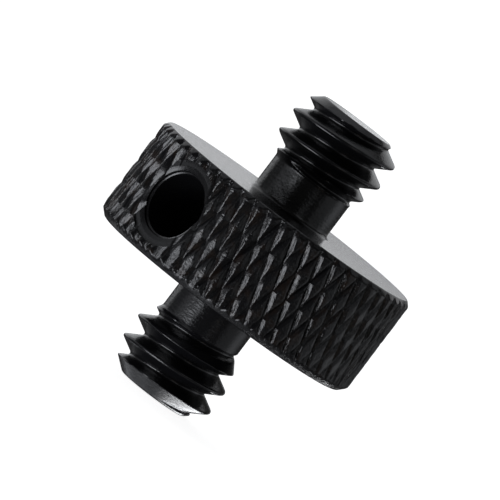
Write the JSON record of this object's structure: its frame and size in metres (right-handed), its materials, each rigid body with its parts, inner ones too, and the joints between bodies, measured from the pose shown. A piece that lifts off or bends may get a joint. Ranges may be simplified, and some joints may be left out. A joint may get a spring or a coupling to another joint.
{
  "type": "tripod thread adapter",
  "caption": "Short double-ended male thread adapter with a diamond-knurled centre disc, relieved necks and a cross hole for a tommy bar.",
  "frame": {"origin": "centre of the lower stud's flat end, which the part stands on", "axes": "+Z along the stud axis towards the upper stud, Y along the cross hole"},
  "size_m": [0.0162, 0.0162, 0.018],
  "materials": {
    "black_metal": "black anodised, fine turned texture, satin"
  },
  "bodies": {
    "root": {"thread_adapter": "black_metal"}
  },
  "joints": []
}
